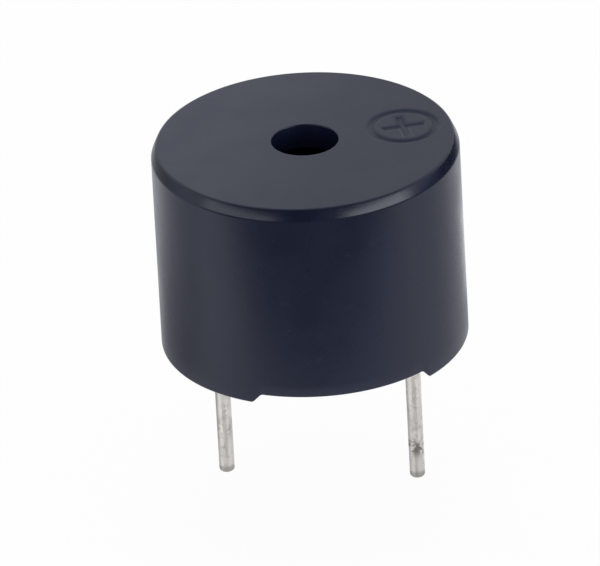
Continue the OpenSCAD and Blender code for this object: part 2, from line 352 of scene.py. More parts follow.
@dataclass(frozen=True)
class MouldedCan:
    """Satin black moulding: smooth sides, a finer matt top with painted light that pales it towards the back left,
    and rims that handling has polished.
    """

    colour: Colour = (0.0036, 0.0053, 0.0172)
    top_colour: Colour = (0.0016, 0.0055, 0.025)
    # Painted light on the top: the paler colour it turns to towards the back left (-X, +Y), where the light falls,
    # and the way and reach of that gradient; the random clouds also lean to that colour.
    cloud_and_painted_light_colour: Colour = (0.025, 0.0295, 0.054)
    painted_light_towards: tuple[float, float, float] = (-0.763, 0.652, 0.0)
    painted_light_from: float = -3.5
    painted_light_to: float = 6.0
    specular: float = 0.43
    specular_tint: Colour = (0.86, 0.9, 1.0)
    side_roughness: float = 0.24
    top_roughness: float = 0.42
    grain_mm: float = 0.002
    wave_mm: float = 0.006

    def make(self, effects: Effects, top_z: float, hole_r: float, top_r: float) -> bpy.types.Material:
        """Builds the material.

        Args:
            effects: The shared effects.
            top_z: The level of the top face, in millimetres.
            hole_r: The radius at which the top face starts, in millimetres.
            top_r: The radius at which it ends, in millimetres.

        Returns:
            The material.
        """
        material, graph, shader = start_material("can_black")
        where = graph.place_mm()
        height = graph.node("ShaderNodeSeparateXYZ", {0: where}).outputs[2]
        feeds = {0: where, 1: (1.0, 1.0, 0.0)}
        flat = graph.node("ShaderNodeVectorMath", feeds, operation="MULTIPLY").outputs[0]
        radius = graph.node("ShaderNodeVectorMath", {0: flat}, operation="LENGTH").outputs["Value"]
        up = graph.ramp(height, top_z - 0.2, top_z - 0.12)
        past_hole = graph.ramp(radius, hole_r, hole_r + 0.04)
        within = graph.ramp(radius, top_r, top_r - 0.08)
        on_top = graph.math("MULTIPLY", up, graph.math("MULTIPLY", past_hole, within))
        grain = effects.place(graph, effects.grain, where, 14.0, 0.55)
        waves = effects.place(graph, effects.grain, where, 1.5, 2.0)
        dust = effects.place(graph, effects.wear, where, 2.6, 0.34)
        feeds = {0: where, 1: self.painted_light_towards}
        across = graph.node("ShaderNodeVectorMath", feeds, operation="DOT_PRODUCT").outputs["Value"]
        # Painted light: the top turns paler towards the back left, as if more light fell there.
        painted_light = graph.ramp(across, self.painted_light_from, self.painted_light_to)
        top = graph.mix(painted_light, self.top_colour, self.cloud_and_painted_light_colour)
        cloudy_top = graph.mix(graph.math("MULTIPLY", grain["Blotch"], 0.15), top, self.cloud_and_painted_light_colour)
        cloudy_side = graph.mix(grain["Blotch"], shade(self.colour, 1.05), shade(self.colour, 1.3))
        clouded = graph.mix(on_top, cloudy_side, cloudy_top)
        dusty = graph.mix(graph.math("MULTIPLY", dust["Mask"], 0.25), clouded, (0.03, 0.032, 0.038))
        base = graph.ramp(on_top, 0.0, 1.0, self.side_roughness, self.top_roughness)
        uneven = graph.math("MULTIPLY_ADD", grain["Blotch"], 0.06, base)
        roughness = graph.math("MULTIPLY_ADD", dust["Mask"], 0.05, uneven)
        graph.tree.links.new(dusty, shader.inputs["Base Color"])
        graph.tree.links.new(roughness, shader.inputs["Roughness"])
        wavy = graph.bump(waves["Height"], self.wave_mm)
        graph.tree.links.new(graph.bump(grain["Height"], self.grain_mm, wavy), shader.inputs["Normal"])
        shader.inputs["Specular IOR Level"].default_value = self.specular
        shader.inputs["Specular Tint"].default_value = (*self.specular_tint, 1.0)
        return material


@dataclass(frozen=True)
class TinnedWire:
    """Dull tinned wire with fine lines from drawing, painted reflection bands that run along it, blotchy tarnish
    and a darker cut tip.

    Each painted reflection band is an angle round the wire, a half width in degrees and how much it lightens the
    tin.
    """

    pale: Colour = (0.98, 0.94, 0.86)
    dull: Colour = (0.465, 0.445, 0.4)
    dark: Colour = (0.2, 0.19, 0.17)
    roughness: float = 0.38
    # Painted reflection bands: angle round the wire, half width and gain.
    painted_reflection_streaks: tuple[tuple[float, float, float], ...] = (
        (-74.0, 26.0, -0.2), (-42.0, 20.0, 0.3), (-10.0, 20.0, -0.35), (28.0, 32.0, 0.15),
        (70.0, 36.0, 0.6), (125.0, 30.0, -0.2), (170.0, 40.0, 0.3), (225.0, 26.0, -0.25),
    )

    def painted_reflection_tone(self, graph: Graph, where: Any, centre_x: float, radius: float) -> bpy.types.NodeSocket:
        """Adds up the painted reflection bands that run along the wire.

        Args:
            graph: The material's graph.
            where: The point's place, in millimetres.
            centre_x: The wire's middle along X.
            radius: The wire's radius.

        Returns:
            The socket of the painted bands' brightness, 0 for dull and 1 for pale.
        """
        feeds = {"Vector": where, "Location": (-centre_x, 0.0, 0.0)}
        place = graph.node("ShaderNodeMapping", feeds).outputs[0]
        slow = graph.node("ShaderNodeMapping", {"Vector": place, "Scale": (2.0, 2.0, 0.5)}).outputs[0]
        sway = graph.math("MULTIPLY_ADD", graph.noise(slow, 1.0, 2.0), 0.3, -0.15)
        reflection_tone: Any = 0.5
        # Painted reflection: light and dark bands at set angles round the wire stand in for the studio that the
        # tin reflects.
        for angle, width, gain in self.painted_reflection_streaks:
            towards = (math.sin(math.radians(angle)) / radius, -math.cos(math.radians(angle)) / radius, 0.0)
            facing = graph.node("ShaderNodeVectorMath", {0: place, 1: towards}, operation="DOT_PRODUCT")
            near = graph.math("ADD", facing.outputs["Value"], sway)
            mask = graph.ramp(near, math.cos(math.radians(width)), 1.0)
            reflection_tone = graph.math("MULTIPLY_ADD", mask, gain, reflection_tone)
        return reflection_tone

    def make(self, effects: Effects, name: str, centre_x: float, radius: float, tip_z: float,
             stain: tuple[float, float]) -> bpy.types.Material:
        """Builds the material for one pin.

        Args:
            effects: The shared effects.
            name: The material's name.
            centre_x: The pin's middle along X, in millimetres.
            radius: The pin's radius, in millimetres.
            tip_z: The level of the pin's tip, in millimetres.
            stain: The level of the pin's darkest stain, in millimetres, and how strong it is, from 0 to 1.

        Returns:
            The material.
        """
        material, graph, shader = start_material(name)
        where = graph.place_mm()
        height = graph.node("ShaderNodeSeparateXYZ", {0: where}).outputs[2]
        drawn = graph.node("ShaderNodeMapping", {"Vector": where, "Scale": (1.0, 1.0, 0.15)}).outputs[0]
        lines = effects.place(graph, effects.grain, drawn, 16.0, 3.0)
        stains = effects.place(graph, effects.grain, where, 9.0, 2.8)
        specks = effects.place(graph, effects.wear, where, 4.5, 0.46)
        tip = graph.ramp(height, tip_z + 0.42, tip_z + 0.2)
        reach = graph.math("ABSOLUTE", graph.math("SUBTRACT", height, stain[0]))
        near = graph.ramp(reach, 0.55, 0.1)
        patches = graph.ramp(stains["Blotch"], 0.3, 0.7)
        blotches = graph.math("MULTIPLY", patches, graph.math("MULTIPLY_ADD", near, stain[1], 0.08))
        tarnish = graph.math("MAXIMUM", blotches, graph.math("MULTIPLY", specks["Mask"], 0.3))
        wanted = graph.math("MAXIMUM", tarnish, graph.math("MULTIPLY", tip, 0.55))
        reflection_tone = self.painted_reflection_tone(graph, where, centre_x, radius)
        # The drawn lines' random mottle plus the painted reflection bands.
        mottled_and_reflected = graph.math("MULTIPLY_ADD", lines["Blotch"], 0.3, graph.math("SUBTRACT", reflection_tone, 0.15))
        tin = graph.mix(mottled_and_reflected, self.dull, self.pale)
        graph.tree.links.new(graph.mix(wanted, tin, self.dark), shader.inputs["Base Color"])
        rough = graph.math("MULTIPLY_ADD", wanted, 0.2, self.roughness)
        graph.tree.links.new(rough, shader.inputs["Roughness"])
        scored = graph.bump(lines["Height"], 0.005)
        graph.tree.links.new(graph.bump(stains["Height"], 0.004, scored), shader.inputs["Normal"])
        shader.inputs["Metallic"].default_value = 1.0
        return material


@dataclass(frozen=True)
class Skin:
    """Any other surface of the part: a base colour with cloudy patches, spots and a fine grain."""

    colour: Colour
    patch: Colour
    roughness: float
    metallic: float = 0.0
    coat: float = 0.0
    grain_scale: float = 12.0
    grain_mm: float = 0.003
    patch_scale: float = 0.8
    spot_share: float = 0.4
    stretch: tuple[float, float, float] = (1.0, 1.0, 1.0)

    def make(self, effects: Effects, name: str) -> bpy.types.Material:
        """Builds the material.

        Args:
            effects: The shared effects.
            name: The material's name.

        Returns:
            The material.
        """
        material, graph, shader = start_material(name)
        feeds = {"Vector": graph.place_mm(), "Scale": self.stretch}
        where = graph.node("ShaderNodeMapping", feeds).outputs[0]
        grain = effects.place(graph, effects.grain, where, self.grain_scale, self.patch_scale)
        spots = effects.place(graph, effects.wear, where, self.grain_scale * 0.3, self.spot_share)
        clouded = graph.mix(grain["Blotch"], self.colour, self.patch)
        spotted = graph.mix(graph.math("MULTIPLY", spots["Mask"], 0.3), clouded, shade(self.patch, 0.6))
        graph.tree.links.new(spotted, shader.inputs["Base Color"])
        uneven = graph.math("MULTIPLY_ADD", grain["Blotch"], 0.1, self.roughness)
        graph.tree.links.new(uneven, shader.inputs["Roughness"])
        graph.tree.links.new(graph.bump(grain["Height"], self.grain_mm), shader.inputs["Normal"])
        shader.inputs["Metallic"].default_value = self.metallic
        shader.inputs["Coat Weight"].default_value = self.coat
        return material


SKINS: dict[Slot, Skin] = {
    Slot.SILICONE: Skin((0.78, 0.79, 0.76), (0.7, 0.71, 0.68), 0.4, grain_mm=0.002),
    Slot.BRASS: Skin((0.78, 0.56, 0.24), (0.66, 0.45, 0.18), 0.28, 1.0, stretch=(0.15, 2.0, 1.0)),
    Slot.CERAMIC: Skin((0.62, 0.55, 0.4), (0.56, 0.49, 0.35), 0.55, grain_scale=20.0),
    Slot.SILVER: Skin((0.86, 0.85, 0.82), (0.74, 0.73, 0.7), 0.4, 1.0, grain_scale=18.0),
    Slot.SOLDER: Skin((0.72, 0.73, 0.74), (0.6, 0.61, 0.62), 0.22, 1.0, grain_scale=8.0),
    Slot.LEAD_RED: Skin((0.5, 0.03, 0.025), (0.42, 0.025, 0.02), 0.38, coat=0.2),
    Slot.LEAD_BLUE: Skin((0.03, 0.09, 0.42), (0.025, 0.07, 0.34), 0.38, coat=0.2),
    Slot.LEAD_BLACK: Skin((0.02, 0.02, 0.022), (0.03, 0.03, 0.033), 0.4, coat=0.2),
    Slot.BOARD: Skin((0.52, 0.44, 0.22), (0.46, 0.38, 0.18), 0.45, coat=0.3, stretch=(4.0, 0.5, 1.0)),
    Slot.COPPER: Skin((0.72, 0.38, 0.22), (0.6, 0.29, 0.16), 0.35, 1.0, grain_scale=16.0),
    Slot.CHIP: Skin((0.018, 0.018, 0.02), (0.026, 0.026, 0.028), 0.5, grain_scale=24.0),
    Slot.TIN: Skin((0.75, 0.75, 0.74), (0.63, 0.63, 0.62), 0.35, 1.0, grain_scale=16.0),
    Slot.POTTING: Skin((0.012, 0.012, 0.014), (0.02, 0.02, 0.023), 0.26, grain_scale=5.0, grain_mm=0.004),
}

DRESSED_SOLIDS: dict[str, Slot] = {
    "diaphragm_adhesive": Slot.SILICONE,
    "brass_plate": Slot.BRASS,
    "piezo_ceramic": Slot.CERAMIC,
    "drive_electrode": Slot.SILVER,
    "feedback_electrode": Slot.SILVER,
    "element_solder": Slot.SOLDER,
    "drive_lead": Slot.LEAD_RED,
    "feedback_lead": Slot.LEAD_BLUE,
    "plate_lead": Slot.LEAD_BLACK,
    "board_solder": Slot.SOLDER,
    "circuit_board": Slot.BOARD,
    "copper_tracks": Slot.COPPER,
    "transistor_body": Slot.CHIP,
    "transistor_leads": Slot.TIN,
    "load_resistor": Slot.CHIP,
    "bias_resistor": Slot.CHIP,
    "feedback_resistor": Slot.CHIP,
    "resistor_caps": Slot.TIN,
    "pin_solder": Slot.SOLDER,
}


def close_wire(mesh: bmesh.types.BMesh, points: Iterable[Point], closed: bool) -> list[bmesh.types.BMVert]:
    """Draws a profile of a turned piece as a wire in the XZ plane.

    Args:
        mesh: The mesh to draw in.
        points: Radius and height of each corner.
        closed: Whether the last corner joins the first.

    Returns:
        The corners' vertices.
    """
    corners = [mesh.verts.new((radius, 0.0, height)) for radius, height in points]
    for first, second in zip(corners, corners[1:]):
        mesh.edges.new((first, second))
    if closed:
        mesh.edges.new((corners[-1], corners[0]))
    return corners


def round_corners(
    mesh: bmesh.types.BMesh, corners: list[bmesh.types.BMVert], reach: float, segments: int = 4,
) -> None:
    """Rounds corners of a wire.

    Args:
        mesh: The wire's mesh.
        corners: The vertices to round.
        reach: How far along its edges each rounding starts.
        segments: Edges in each rounding.
    """
    bmesh.ops.bevel(
        mesh, geom=corners, offset=reach, offset_type="OFFSET", affect="VERTICES",
        segments=segments, profile=0.5, material=-1, clamp_overlap=True,
    )


def turn(mesh: bmesh.types.BMesh, axis_at: Point, steps: int) -> None:
    """Turns the mesh's wire into a closed skin round an upright axis.

    Args:
        mesh: The mesh that holds only the wire.
        axis_at: The axis's x and y.
        steps: Faces round the axis.
    """
    bmesh.ops.spin(
        mesh, geom=mesh.verts[:] + mesh.edges[:], cent=(*axis_at, 0.0), axis=(0.0, 0.0, 1.0),
        dvec=(0.0, 0.0, 0.0), angle=math.tau, steps=steps, use_merge=True, use_duplicate=False,
    )
    bmesh.ops.remove_doubles(mesh, verts=mesh.verts[:], dist=1e-5)
    bmesh.ops.dissolve_degenerate(mesh, edges=mesh.edges[:], dist=1e-6)
    bmesh.ops.recalc_face_normals(mesh, faces=mesh.faces[:])


def as_object(mesh: bmesh.types.BMesh, name: str) -> bpy.types.Object:
    """Makes an object of a mesh and frees the mesh.

    Args:
        mesh: The finished mesh.
        name: The object's name.

    Returns:
        The object, linked to the scene.
    """
    data = bpy.data.meshes.new(name)
    mesh.to_mesh(data)
    mesh.free()
    made = bpy.data.objects.new(name, data)
    bpy.context.scene.collection.objects.link(made)
    return made


def cut_away(piece: bpy.types.Object, cutter: bpy.types.Object) -> None:
    """Takes a cutter's solid away from a piece and drops the cutter.

    Args:
        piece: The object that is cut.
        cutter: The closed solid to take away.
    """
    step = piece.modifiers.new("cut", "BOOLEAN")
    step.operation = "DIFFERENCE"
    step.solver = "EXACT"
    step.object = cutter
    bpy.context.view_layer.update()
    shaped = piece.evaluated_get(bpy.context.evaluated_depsgraph_get())
    data = bpy.data.meshes.new_from_object(shaped)
    piece.modifiers.clear()
    piece.data = data
    bpy.data.objects.remove(cutter)


def crease(data: bpy.types.Mesh, angle: float = 40.0) -> None:
    """Keeps the shading apart at sharp corners and round every level face, so that a flat top stays flat.

    Args:
        data: The mesh.
        angle: The least turn of a sharp corner, in degrees.
    """
    mesh = bmesh.new()
    mesh.from_mesh(data)
    for edge in mesh.edges:
        sides = [face.normal for face in edge.link_faces]
        level = {abs(normal.z) > 0.99999 for normal in sides}
        edge.smooth = len(level) == 1 and edge.calc_face_angle(0.0) < math.radians(angle)
    mesh.to_mesh(data)
    mesh.free()


def finish_piece(piece: bpy.types.Object, material: bpy.types.Material, slot: Slot, *nodes: str) -> None:
    """Puts a piece into metres, smooths its shading, dresses it, hangs it under the body's empty and hides the
    solids that it stands for.

    Args:
        piece: The object, with its mesh in millimetres.
        material: Its finish.
        slot: The record's slot for that finish. Not used.
        nodes: The solids that it stands for.
    """
    data = piece.data
    data.transform(Matrix.Scale(METRES, 4))
    data.materials.clear()
    data.materials.append(material)
    data.shade_smooth()
    crease(data)
    even = piece.modifiers.new("even_shading", "WEIGHTED_NORMAL")
    even.keep_sharp = True
    even.weight = 100
    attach(piece, BODY)
    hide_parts(*nodes)
    log.info("%s: %d faces, stands for %s", piece.name, len(data.polygons), ", ".join(nodes))


@dataclass(frozen=True)
class CanSizes:
    """The sizes that the can, its pins and its compound share, in millimetres."""

    body_r: float
    body_h: float
    bore_r: float
    plate_bore_r: float
    board_z: float
    board_top_z: float
    ledge_z: float
    port_r: float
    top_t: float
    pin_x: float
    pin_r: float

    @classmethod
    def from_frame(cls) -> "CanSizes":
        """Reads the sizes off the solids' boxes and the record's mounts."""
        housing = box_mm("housing")
        compound = box_mm("potting")
        port = mount_dims("sound_port")
        pins = mount_dims("pins")
        return cls(
            body_r=housing[1].x,
            body_h=housing[1].z,
            bore_r=compound[1].x,
            plate_bore_r=box_mm("diaphragm_adhesive")[1].x,
            board_z=compound[1].z,
            board_top_z=box_mm("copper_tracks")[0].z,
            ledge_z=box_mm("brass_plate")[1].z,
            port_r=port["r_mm"],
            top_t=port["length_mm"],
            pin_x=pins["spacing_x_mm"] / 2,
            pin_r=pins["stud_r_mm"],
        )


@dataclass
class PolarityMark:
    """The ring and plus sign that are engraved over the positive pin, with soft lips."""

    ring_r: float = 1.27
    line_w: float = 0.2
    bar_l: float = 1.6
    shift: float = 0.1
    ring_steps: int = 128
    section: tuple[Point, ...] = (
        (-0.09, -0.065), (-0.08, -0.035), (-0.055, 0.0), (-0.025, 0.04), (-0.009, 0.08), (-0.002, 0.13),
        (0.003, 0.17), (0.2, 0.17),
    )

    def ring_cutter(self, centre_x: float, top_z: float) -> bpy.types.Object:
        """Builds the solid that cuts the ring.

        Args:
            centre_x: The mark's place along X.
            top_z: The level of the top face.

        Returns:
            The cutter.
        """
        half = self.line_w / 2
        outer = [(centre_x + self.ring_r + half + lean, top_z + level) for level, lean in self.section]
        inner = [(centre_x + self.ring_r - half - lean, top_z + level) for level, lean in self.section]
        mesh = bmesh.new()
        close_wire(mesh, outer + inner[::-1], closed=True)
        turn(mesh, (centre_x, 0.0), self.ring_steps)
        half_step = Matrix.Rotation(math.pi / self.ring_steps, 3, "Z")
        bmesh.ops.rotate(mesh, verts=mesh.verts[:], cent=(centre_x, 0.0, 0.0), matrix=half_step)
        return as_object(mesh, "ring_cutter")

    def plus_cutter(self, centre_x: float, top_z: float) -> bpy.types.Object:
        """Builds the solid that cuts the plus sign: a grid without its corners, drawn up level by level.

        Args:
            centre_x: The mark's place along X.
            top_z: The level of the top face.

        Returns:
            The cutter.
        """
        near, far = self.line_w / 2, self.bar_l / 2
        mesh = bmesh.new()
        bmesh.ops.create_grid(mesh, x_segments=3, y_segments=3, size=far)
        middles = {f: f.calc_center_median() for f in mesh.faces}
        corners = [f for f, middle in middles.items() if min(abs(middle.x), abs(middle.y)) > near]
        bmesh.ops.delete(mesh, geom=corners, context="FACES")
        faces = mesh.faces[:]
        for number, (level, lean) in enumerate(self.section):
            if number:
                below = faces
                grown = bmesh.ops.extrude_face_region(mesh, geom=below)["geom"]
                faces = [g for g in grown if isinstance(g, bmesh.types.BMFace)]
                if number > 1:
                    bmesh.ops.delete(mesh, geom=below, context="FACES_ONLY")
            for corner in {v for f in faces for v in f.verts}:
                for axis in (0, 1):
                    reach = far if abs(corner.co[axis]) > far / 2 else near
                    corner.co[axis] = math.copysign(reach + lean, corner.co[axis])
                corner.co.z = top_z + level
        bmesh.ops.translate(mesh, verts=mesh.verts[:], vec=(centre_x, 0.0, 0.0))
        bmesh.ops.recalc_face_normals(mesh, faces=mesh.faces[:])
        return as_object(mesh, "plus_cutter")


@dataclass
class Housing:
    """The moulded can: stepped bore, rounded edges, feet with sloped ends and an engraved mark."""

    sizes: CanSizes
    draft_w: float = 0.02
    chamfer_w: float = 0.2
    chamfer_h: float = 0.45
    ledge_w: float = 0.55
    foot_h: float = 0.4
    foot_gap_w: float = 6.4
    foot_slope_w: float = 0.3
    foot_corner: float = 0.1
    rim_band: float = 0.9
    rim_reach: float = 0.1
    edge_reach: float = 0.05
    crown_reach: float = 0.08
    steps: int = 256
    mark: PolarityMark = field(default_factory=PolarityMark)

    def profile(self) -> tuple[list[Point], dict[Point, float]]:
        """Gives the can's half section.

        Returns:
            The corners in order, from the bore's lower edge outwards, and how far each rounding reaches.
        """
        s = self.sizes
        top_r = s.body_r - self.draft_w
        chamfer_z = s.body_h - self.chamfer_h
        ceiling_z = s.body_h - s.top_t
        front_r = s.plate_bore_r - self.ledge_w
        band_r = s.body_r - self.draft_w * self.rim_band / chamfer_z
        rim = [(s.bore_r, 0.0), (s.body_r, 0.0)]
        crown = [(top_r, chamfer_z), (top_r - self.chamfer_w, s.body_h), (s.port_r, s.body_h)]
        corners = [
            *rim, (band_r, self.rim_band), *crown, (s.port_r, ceiling_z), (front_r, ceiling_z),
            (front_r, s.ledge_z), (s.plate_bore_r, s.ledge_z), (s.plate_bore_r, s.board_top_z),
            (s.bore_r, s.board_top_z), (s.bore_r, self.rim_band),
        ]
        rounded = {corner: self.edge_reach for corner in (rim[0], crown[0], crown[2])}
        rounded.update({rim[1]: self.rim_reach, crown[1]: self.crown_reach})
        return corners, rounded

    def turned(self) -> bmesh.types.BMesh:
        """Turns the half section into the can.

        Returns:
            The can, still with a level rim.
        """
        mesh = bmesh.new()
        points, rounded = self.profile()
        wire = close_wire(mesh, points, closed=True)
        for corner, point in zip(wire, points):
            if point in rounded:
                round_corners(mesh, [corner], rounded[point])
        turn(mesh, (0.0, 0.0), self.steps)
        return mesh

    def rise(self, x: float) -> float:
        """Gives how far the rim rises over the gap between the feet.

        Args:
            x: The place along X.

        Returns:
            The rise, with rounded corners.
        """
        foot_start = self.foot_gap_w / 2 + self.foot_slope_w

        def slope(at: float) -> float:
            """Gives the share of the rise at a place, with sharp corners."""
            return min(1.0, max(0.0, (foot_start - abs(at)) / self.foot_slope_w))

        spread = self.foot_corner / 2
        return self.foot_h * (slope(x - spread) + 2 * slope(x) + slope(x + spread)) / 4

    def shape_feet(self, mesh: bmesh.types.BMesh) -> None:
        """Cuts the rim's band where the feet's slopes bend, and lifts the rim between the feet.

        Args:
            mesh: The turned can.
        """
        half = self.foot_gap_w / 2
        shifts = [self.foot_corner * share for share in (-1.0, -0.5, 0.0, 0.5, 1.0)]
        bends = [bend + shift for bend in (half, half + self.foot_slope_w) for shift in shifts]
        bends.append(half + self.foot_slope_w / 2)
        for at in [side * bend for bend in bends for side in (-1, 1)]:
            band = [f for f in mesh.faces if all(v.co.z < self.rim_band + 1e-4 for v in f.verts)]
            edges = list({e for f in band for e in f.edges})
            verts = list({v for f in band for v in f.verts})
            bmesh.ops.bisect_plane(
                mesh, geom=verts + edges + band, dist=1e-5, plane_co=(at, 0, 0), plane_no=(1, 0, 0),
            )
        for vertex in mesh.verts:
            if vertex.co.z < self.rim_band - 1e-4:
                share = 1 - vertex.co.z / self.rim_band
                vertex.co.z += self.rise(vertex.co.x) * share

    def build(self, effects: Effects) -> None:
        """Builds, engraves and dresses the housing.

        Args:
            effects: The shared effects.
        """
        s = self.sizes
        mesh = self.turned()
        self.shape_feet(mesh)
        piece = as_object(mesh, "can")
        centre_x = s.pin_x + self.mark.shift
        for cutter in (self.mark.ring_cutter, self.mark.plus_cutter):
            cut_away(piece, cutter(centre_x, s.body_h))
        top_r = s.body_r - self.draft_w - self.chamfer_w
        finish = MouldedCan().make(effects, s.body_h, s.port_r, top_r)
        finish_piece(piece, finish, Slot.HOUSING, "housing")


@dataclass
class Pin:
    """A tinned pin with a rounded tip and a thicker shank inside the compound."""

    sizes: CanSizes
    node: str
    stain_rise: float
    stain: float
    tip_round: float = 0.14
    shoulder_z: float = 0.78
    steps: int = 72

    def build(self, effects: Effects) -> None:
        """Turns and dresses the pin.

        Args:
            effects: The shared effects.
        """
        low, high = box_mm(self.node)
        centre_x = (low.x + high.x) / 2
        pin_r = self.sizes.pin_r
        shank_r = (high.x - low.x) / 2
        mesh = bmesh.new()
        points = [
            (0.0, low.z), (pin_r, low.z), (pin_r, self.shoulder_z),
            (shank_r, self.shoulder_z), (shank_r, high.z), (0.0, high.z),
        ]
        wire = close_wire(mesh, [(centre_x + radius, z) for radius, z in points], closed=False)
        round_corners(mesh, [wire[1]], self.tip_round, segments=6)
        turn(mesh, (centre_x, 0.0), self.steps)
        piece = as_object(mesh, self.node + "_wire")
        stain = (low.z + self.stain_rise, self.stain)
        finish = TinnedWire().make(effects, self.node + "_tin", centre_x, pin_r, low.z, stain)
        finish_piece(piece, finish, Slot.PIN, self.node)


@dataclass
class Compound:
    """The poured compound: a shallow dish that creeps up the wall and both pins."""

    sizes: CanSizes
    thickness: float = 0.9
    dish: float = 0.12
    wall_creep: float = 0.05
    wall_creep_w: float = 0.12
    collar_h: float = 0.15
    collar_w: float = 0.1
    rings: int = 54
    steps: int = 192

    def level(self, radius: float) -> float:
        """Gives the free face's level at a radius, without the collars.

        Args:
            radius: The distance from the can's axis.

        Returns:
            The level.
        """
        s = self.sizes
        creep = self.wall_creep * math.exp((radius - s.bore_r) / self.wall_creep_w)
        return s.board_z - self.thickness - self.dish * (radius / s.bore_r) ** 2 - creep

    def build(self, effects: Effects) -> None:
        """Builds and dresses the compound.

        Args:
            effects: The shared effects.
        """
        s = self.sizes
        radii = [s.bore_r * number / self.rings for number in range(self.rings + 1)]
        mesh = bmesh.new()
        points = [(radius, self.level(radius)) for radius in radii]
        points += [(s.bore_r, s.board_z), (0.0, s.board_z)]
        close_wire(mesh, points, closed=False)
        turn(mesh, (0.0, 0.0), self.steps)
        centres = [Vector((side * s.pin_x, 0.0)) for side in (-1, 1)]

        def by_a_pin(vertex: bmesh.types.BMVert) -> bool:
            """Tells whether a vertex of the free face lies near a pin."""
            gap = min((vertex.co.xy - centre).length for centre in centres)
            return vertex.co.z < s.board_z - 0.5 and gap < 3 * s.pin_r

        fine = [e for e in mesh.edges if all(by_a_pin(v) for v in e.verts)]
        bmesh.ops.subdivide_edges(mesh, edges=fine, cuts=3, use_grid_fill=True)
        for vertex in mesh.verts:
            if vertex.co.z < s.board_z - 0.5:
                gap = max(0.0, min((vertex.co.xy - c).length for c in centres) - s.pin_r)
                vertex.co.z -= self.collar_h * math.exp(-gap / self.collar_w)
        piece = as_object(mesh, "compound")
        finish_piece(piece, SKINS[Slot.POTTING].make(effects, "compound_black"), Slot.POTTING, "potting")


@dataclass
class InnerParts:
    """The solids inside the can, which keep their own meshes and get their finishes."""

    def dress(self, effects: Effects) -> None:
        """Gives each solid the finish of its slot.

        Args:
            effects: The shared effects.
        """
        made: dict[Slot, bpy.types.Material] = {}
        for node, slot in DRESSED_SOLIDS.items():
            if slot not in made:
                made[slot] = SKINS[slot].make(effects, slot.value + "_finish")
            solid = frame["nodes"][node]
            for held in solid.material_slots:
                held.material = made[slot]
            log.info("%s: %s", node, made[slot].name)


@dataclass
class View:
    """The camera at the photograph's viewing angle."""

    azimuth: float = -10.6
    elevation: float = 28.1
    roll: float = -3.12
    distance: float = 400.0
    focal_px: float = 10270.0
    target: tuple[float, float, float] = (-0.477, 0.089, 2.235)

    def build(self) -> None:
        """Places the camera and makes it the scene's."""
        a, e, roll = (math.radians(x) for x in (self.azimuth, self.elevation, self.roll))
        back = Vector((math.sin(a) * math.cos(e), -math.cos(a) * math.cos(e), math.sin(e)))
        right = Vector((math.cos(a), math.sin(a), 0.0))
        up = back.cross(right)
        across = math.cos(roll) * right + math.sin(roll) * up
        upward = math.cos(roll) * up - math.sin(roll) * right
        data = bpy.data.cameras.new("camera")
        data.sensor_width = SENSOR_W
        data.lens = self.focal_px * SENSOR_W / PICTURE_W
        data.clip_start = 0.01
        camera = bpy.data.objects.new("camera", data)
        place = (Vector(self.target) + self.distance * back) * METRES
        camera.matrix_world = Matrix.Translation(place) @ Matrix((across, upward, back)).transposed().to_4x4()
        bpy.context.scene.collection.objects.link(camera)
        bpy.context.scene.camera = camera
        log.info("camera: lens %.0f mm", data.lens)


@dataclass(frozen=True)
class Softbox:
    """A large soft lamp, placed by its direction from the part."""

    name: str
    azimuth: float
    elevation: float
    distance: float
    width: float
    height: float
    brightness: float

    def build(self, centre: Vector) -> None:
        """Hangs the lamp.

        Args:
            centre: The point it faces, in millimetres.
        """
        a, e = math.radians(self.azimuth), math.radians(self.elevation)
        towards = Vector((math.sin(a) * math.cos(e), -math.cos(a) * math.cos(e), math.sin(e)))
        data = bpy.data.lights.new(self.name, "AREA")
        data.shape = "RECTANGLE"
        data.size = self.width * METRES
        data.size_y = self.height * METRES
        data.energy = self.brightness * math.pi * data.size * data.size_y
        lamp = bpy.data.objects.new(self.name, data)
        lamp.matrix_world = (
            Matrix.Translation((centre + self.distance * towards) * METRES)
            @ towards.to_track_quat("Z", "Y").to_matrix().to_4x4()
        )
        lamp.visible_camera = False
        bpy.context.scene.collection.objects.link(lamp)
        log.info("%s: %.4f W", self.name, data.energy)


@dataclass(frozen=True)
class Screen:
    """A low curved screen beside the part, which only reflections show as the dark of the room."""

    name: str
    start: float
    end: float
    distance: float
    low_z: float
    high_z: float
    brightness: float

    def build(self) -> None:
        """Bends the screen round the part, from one direction to the other."""
        mesh = bmesh.new()
        a = math.radians(self.start)
        at = (math.sin(a) * self.distance, -math.cos(a) * self.distance)
        low, high = (mesh.verts.new((*at, z)) for z in (self.low_z, self.high_z))
        edge = mesh.edges.new((low, high))
        bmesh.ops.spin(
            mesh, geom=[low, high, edge], cent=(0.0, 0.0, 0.0), axis=(0.0, 0.0, 1.0),
            dvec=(0.0, 0.0, 0.0), angle=math.radians(self.end - self.start), steps=32,
        )
        bmesh.ops.scale(mesh, verts=mesh.verts[:], vec=(METRES,) * 3)
        screen = as_object(mesh, self.name)
        material = bpy.data.materials.new(self.name + "_grey")
        material.use_nodes = True
        graph = Graph(material.node_tree)
        glow = graph.node("ShaderNodeEmission", {"Strength": self.brightness}).outputs[0]
        graph.node("ShaderNodeOutputMaterial", {"Surface": glow})
        screen.data.materials.append(material)
        for ray in ("camera", "diffuse", "transmission", "volume_scatter", "shadow"):
            setattr(screen, "visible_" + ray, False)


@dataclass(frozen=True)
class FloorPatch:
    """A patch of painted shade or painted light on the floor, which only reflections show: its middle, reach and
    brightness.
    """

    middle: Point
    inner: float
    outer: float
    share: float


